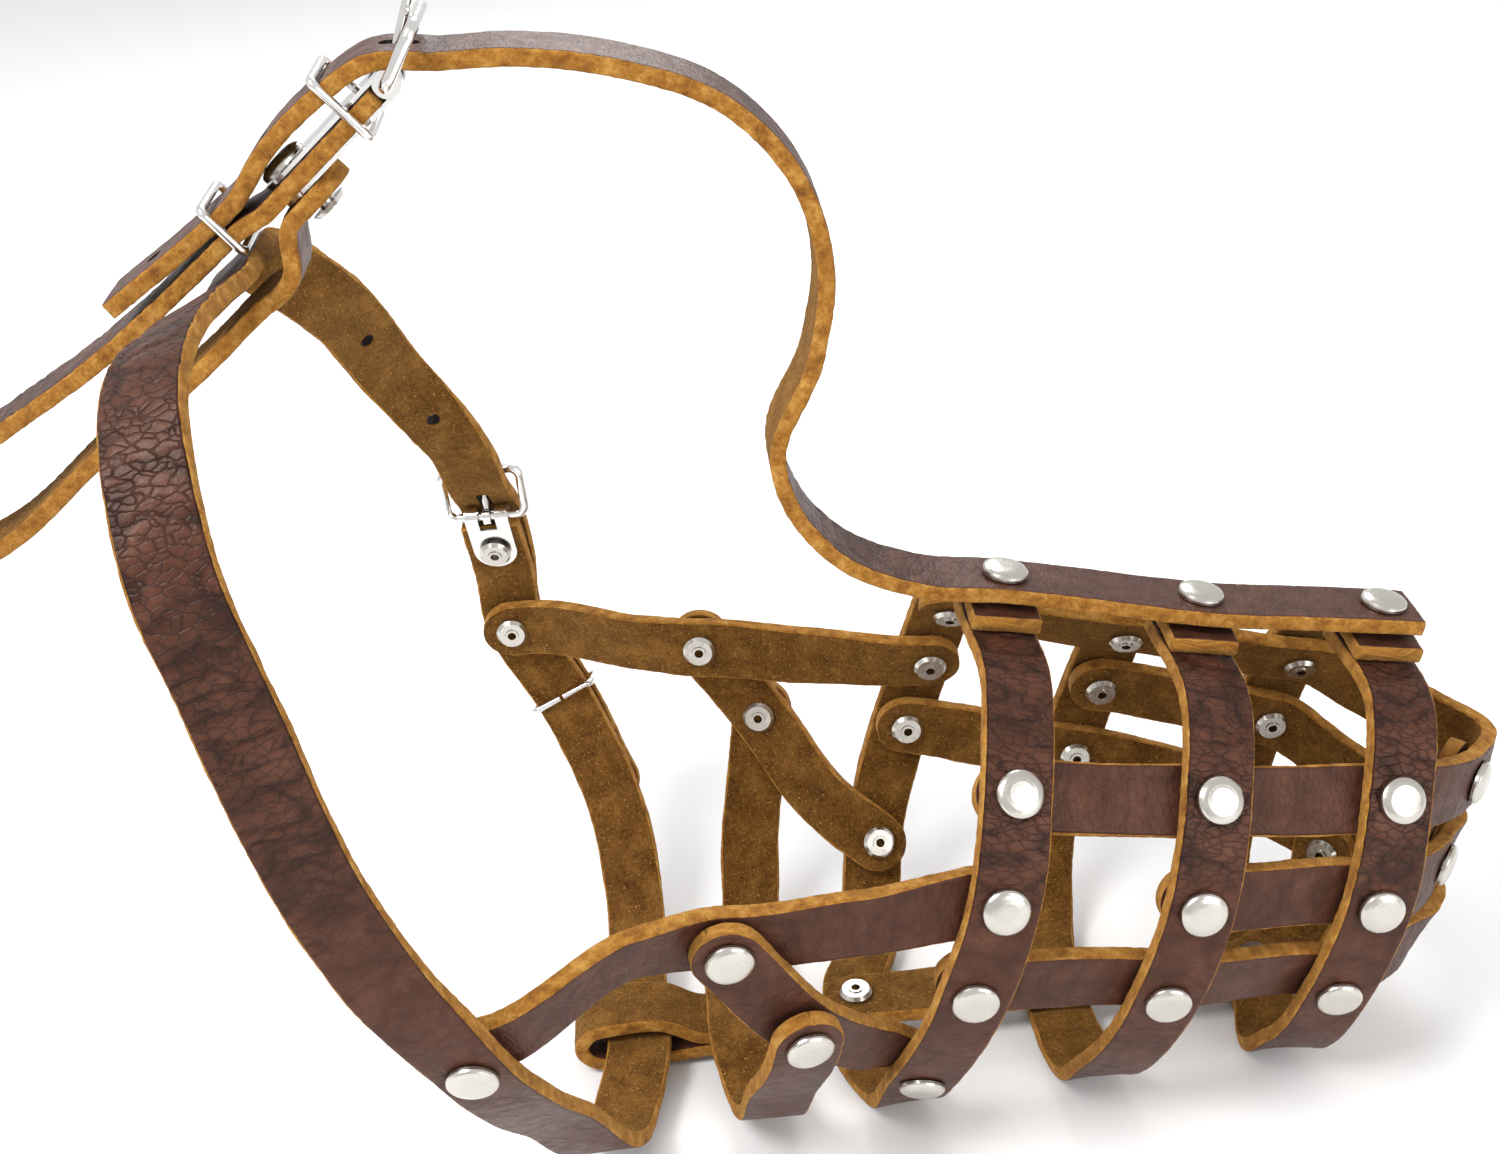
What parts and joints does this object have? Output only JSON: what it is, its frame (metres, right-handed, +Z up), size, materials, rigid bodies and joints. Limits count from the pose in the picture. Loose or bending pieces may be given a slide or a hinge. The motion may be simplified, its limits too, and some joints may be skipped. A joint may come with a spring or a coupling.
{
  "type": "dog muzzle",
  "caption": "Riveted leather basket muzzle for a large dog, with three hoops, wraps round the nose, a buckled collar strap and a forehead strap.",
  "frame": {"origin": "centre of the bounding box in X and Y, at the level that the lowest rivet caps stand on", "axes": "+X towards the dog's nose, +Y to the dog's left side, where the collar buckle is, +Z up"},
  "size_m": [0.3484, 0.1849, 0.2537],
  "materials": {
    "leather": "smooth dark brown grain outside, tan suede inside",
    "nickel": "bright nickel plate"
  },
  "bodies": {
    "basket": {"rear_hoop": "leather", "middle_hoop": "leather", "front_hoop": "leather", "nose_strap": "leather", "upper_wrap": "leather", "middle_wrap": "leather", "lower_wrap": "leather", "front_bar": "leather", "chin_strap": "leather", "cheek_strap_near": "leather", "cheek_strap_far": "leather", "diagonal_strap_near": "leather", "diagonal_strap_far": "leather", "throat_strap": "leather", "throat_loop": "leather", "head_loop_strap": "leather", "nose_rivets": "nickel", "wrap_rivets": "nickel", "cheek_rivets": "nickel", "chin_rivets": "nickel", "bar_rivets": "nickel", "throat_rivet": "nickel", "plate_rivet_head": "nickel", "nose_washers": "nickel", "wrap_washers": "nickel", "cheek_washers": "nickel", "chin_washers": "nickel", "bar_washers": "nickel", "throat_washer": "nickel", "plate_washer_head": "nickel", "head_buckle_plate": "nickel"},
    "collar": {"collar_strap": "leather", "collar_rivets": "nickel", "collar_washers": "nickel", "plate_rivet_collar": "nickel", "plate_washer_collar": "nickel", "collar_buckle_plate": "nickel"},
    "collar_frame": {"collar_buckle_frame": "nickel"},
    "collar_tongue": {"collar_buckle_tongue": "nickel"},
    "collar_keeper": {"collar_keeper": "nickel"},
    "head_frame": {"head_buckle_frame": "nickel"},
    "head_tongue": {"head_buckle_tongue": "nickel"},
    "upper_keeper": {"upper_keeper": "nickel"},
    "lower_keeper": {"lower_keeper": "nickel"}
  },
  "joints": [
    {"name": "collar_swing", "type": "hinge", "parent": "basket", "child": "collar", "pos_m": [-0.05445, -0.00098, 0.076], "axis": [0, 1, 0], "range_deg": [0, 1.4]},
    {"name": "collar_frame_hinge", "type": "hinge", "parent": "collar", "child": "collar_frame", "pos_m": [-0.05645, 0.07752, 0.11], "axis": [-0.9944, 0.089, -0.0575], "range_deg": [-3, 0]},
    {"name": "collar_tongue_hinge", "type": "hinge", "parent": "collar", "child": "collar_tongue", "pos_m": [-0.05645, 0.07752, 0.11], "axis": [-0.9944, 0.089, -0.0575], "range_deg": [0, 6]},
    {"name": "collar_keeper_slide", "type": "slide", "parent": "collar", "child": "collar_keeper", "axis": [0.4092, -0.3369, -0.8479], "range_m": [-0.002, 0.002]},
    {"name": "head_frame_hinge", "type": "hinge", "parent": "basket", "child": "head_frame", "pos_m": [-0.05295, -0.00098, 0.2395], "axis": [0, -1, 0], "range_deg": [-3, 0]},
    {"name": "head_tongue_hinge", "type": "hinge", "parent": "basket", "child": "head_tongue", "pos_m": [-0.05295, -0.00098, 0.2395], "axis": [0, -1, 0], "range_deg": [0, 6]},
    {"name": "upper_keeper_slide", "type": "slide", "parent": "basket", "child": "upper_keeper", "axis": [-0.7659, 0, -0.6429], "range_m": [0, 0.003]},
    {"name": "lower_keeper_slide", "type": "slide", "parent": "basket", "child": "lower_keeper", "axis": [-0.7915, 0, -0.6112], "range_m": [0, 0.003]}
  ]
}
